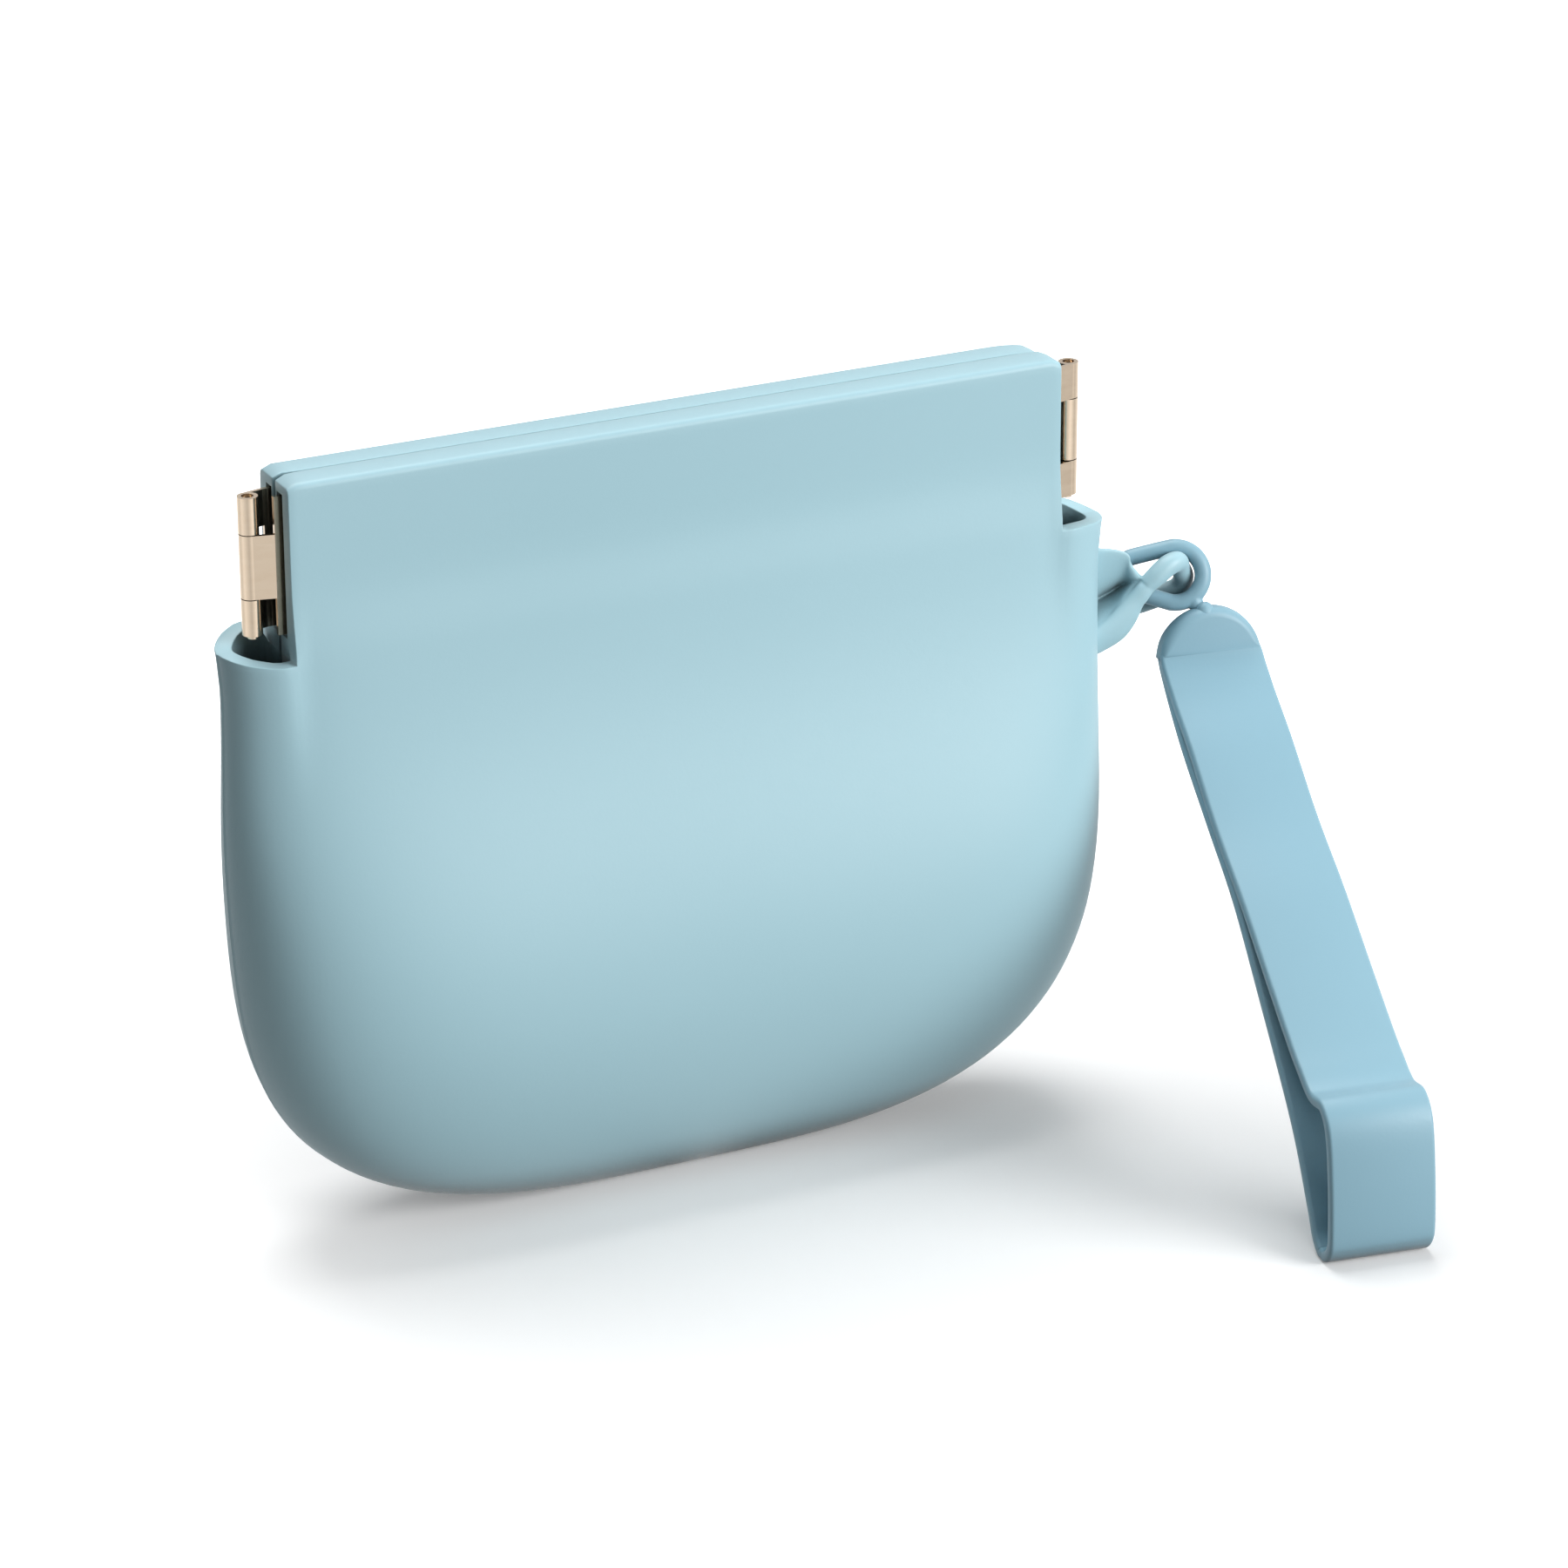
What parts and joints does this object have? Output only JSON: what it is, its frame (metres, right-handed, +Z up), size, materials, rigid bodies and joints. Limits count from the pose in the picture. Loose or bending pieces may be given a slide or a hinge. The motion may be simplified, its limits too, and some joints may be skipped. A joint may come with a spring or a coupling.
{
  "type": "silicone coin purse",
  "caption": "Soft moulded purse whose flat lips hide a squeeze-open spring-leaf frame, with a looped wrist strap on its side ear.",
  "frame": {"origin": "middle of the flat strip that the purse stands on", "axes": "+X to the strap's side, -Y to the front, where the strap leans, +Z up to the mouth"},
  "size_m": [0.12, 0.0715, 0.086],
  "materials": {
    "silicone": "soft matt moulded silicone, light blue",
    "strap_silicone": "soft matt moulded silicone, light blue",
    "gold_steel": "light gold plated spring steel, satin"
  },
  "bodies": {
    "body": {"pouch": "silicone"},
    "left_hinge": {"left_pin": "gold_steel"},
    "front_left": {"front_lip_left": "silicone", "front_leaf_left": "gold_steel"},
    "front_right": {"front_lip_right": "silicone", "front_leaf_right": "gold_steel", "right_pin": "gold_steel"},
    "back_left": {"back_lip_left": "silicone", "back_leaf_left": "gold_steel"},
    "back_right": {"back_lip_right": "silicone", "back_leaf_right": "gold_steel"},
    "front_fold": {"front_leaf_fold": "gold_steel"},
    "back_fold": {"back_leaf_fold": "gold_steel"},
    "ring": {"strap_ring": "strap_silicone"},
    "band": {"strap_band": "strap_silicone"}
  },
  "joints": [
    {"name": "mouth_open", "type": "hinge", "parent": "left_hinge", "child": "front_left", "pos_m": [-0.0473, 0, 0.0767], "axis": [0, 0, -1], "range_deg": [0, 16], "stiffness_Nm_per_rad": 0.05, "springref_deg": -5.73},
    {"name": "left_hinge_slide", "type": "slide", "parent": "body", "child": "left_hinge", "axis": [1, 0, 0], "range_m": [0, 0.00184]},
    {"name": "front_bend", "type": "hinge", "parent": "front_left", "child": "front_right", "pos_m": [0, 0, 0.0767], "axis": [0, 0, 1], "range_deg": [0, 32.1]},
    {"name": "back_swing", "type": "hinge", "parent": "left_hinge", "child": "back_left", "pos_m": [-0.0473, 0, 0.0767], "axis": [0, 0, 1], "range_deg": [0, 16.1]},
    {"name": "back_bend", "type": "hinge", "parent": "back_left", "child": "back_right", "pos_m": [0, 0, 0.0767], "axis": [0, 0, -1], "range_deg": [0, 32.1]},
    {"name": "front_fold_slide", "type": "slide", "parent": "body", "child": "front_fold", "axis": [0, -1, 0], "range_m": [0, 0.01305]},
    {"name": "back_fold_slide", "type": "slide", "parent": "body", "child": "back_fold", "axis": [0, 1, 0], "range_m": [0, 0.01305]},
    {"name": "ring_swing", "type": "hinge", "parent": "body", "child": "ring", "pos_m": [0.0614, 0, 0.0581], "axis": [-0.4046, -0.8295, 0.3851], "range_deg": [-10, 40]},
    {"name": "band_swing", "type": "hinge", "parent": "ring", "child": "band", "pos_m": [0.06307, -0.00287, 0.05367], "axis": [-0.9882, 0.153, 0], "range_deg": [-30, 60]}
  ],
  "couplings": [
    {"joint": "left_hinge_slide", "follows": "mouth_open", "m_per_rad": 0.00656},
    {"joint": "front_bend", "follows": "mouth_open", "ratio": 2},
    {"joint": "back_swing", "follows": "mouth_open", "ratio": 1},
    {"joint": "back_bend", "follows": "mouth_open", "ratio": 2},
    {"joint": "front_fold_slide", "follows": "mouth_open", "m_per_rad": 0.04669},
    {"joint": "back_fold_slide", "follows": "mouth_open", "m_per_rad": 0.04669}
  ]
}
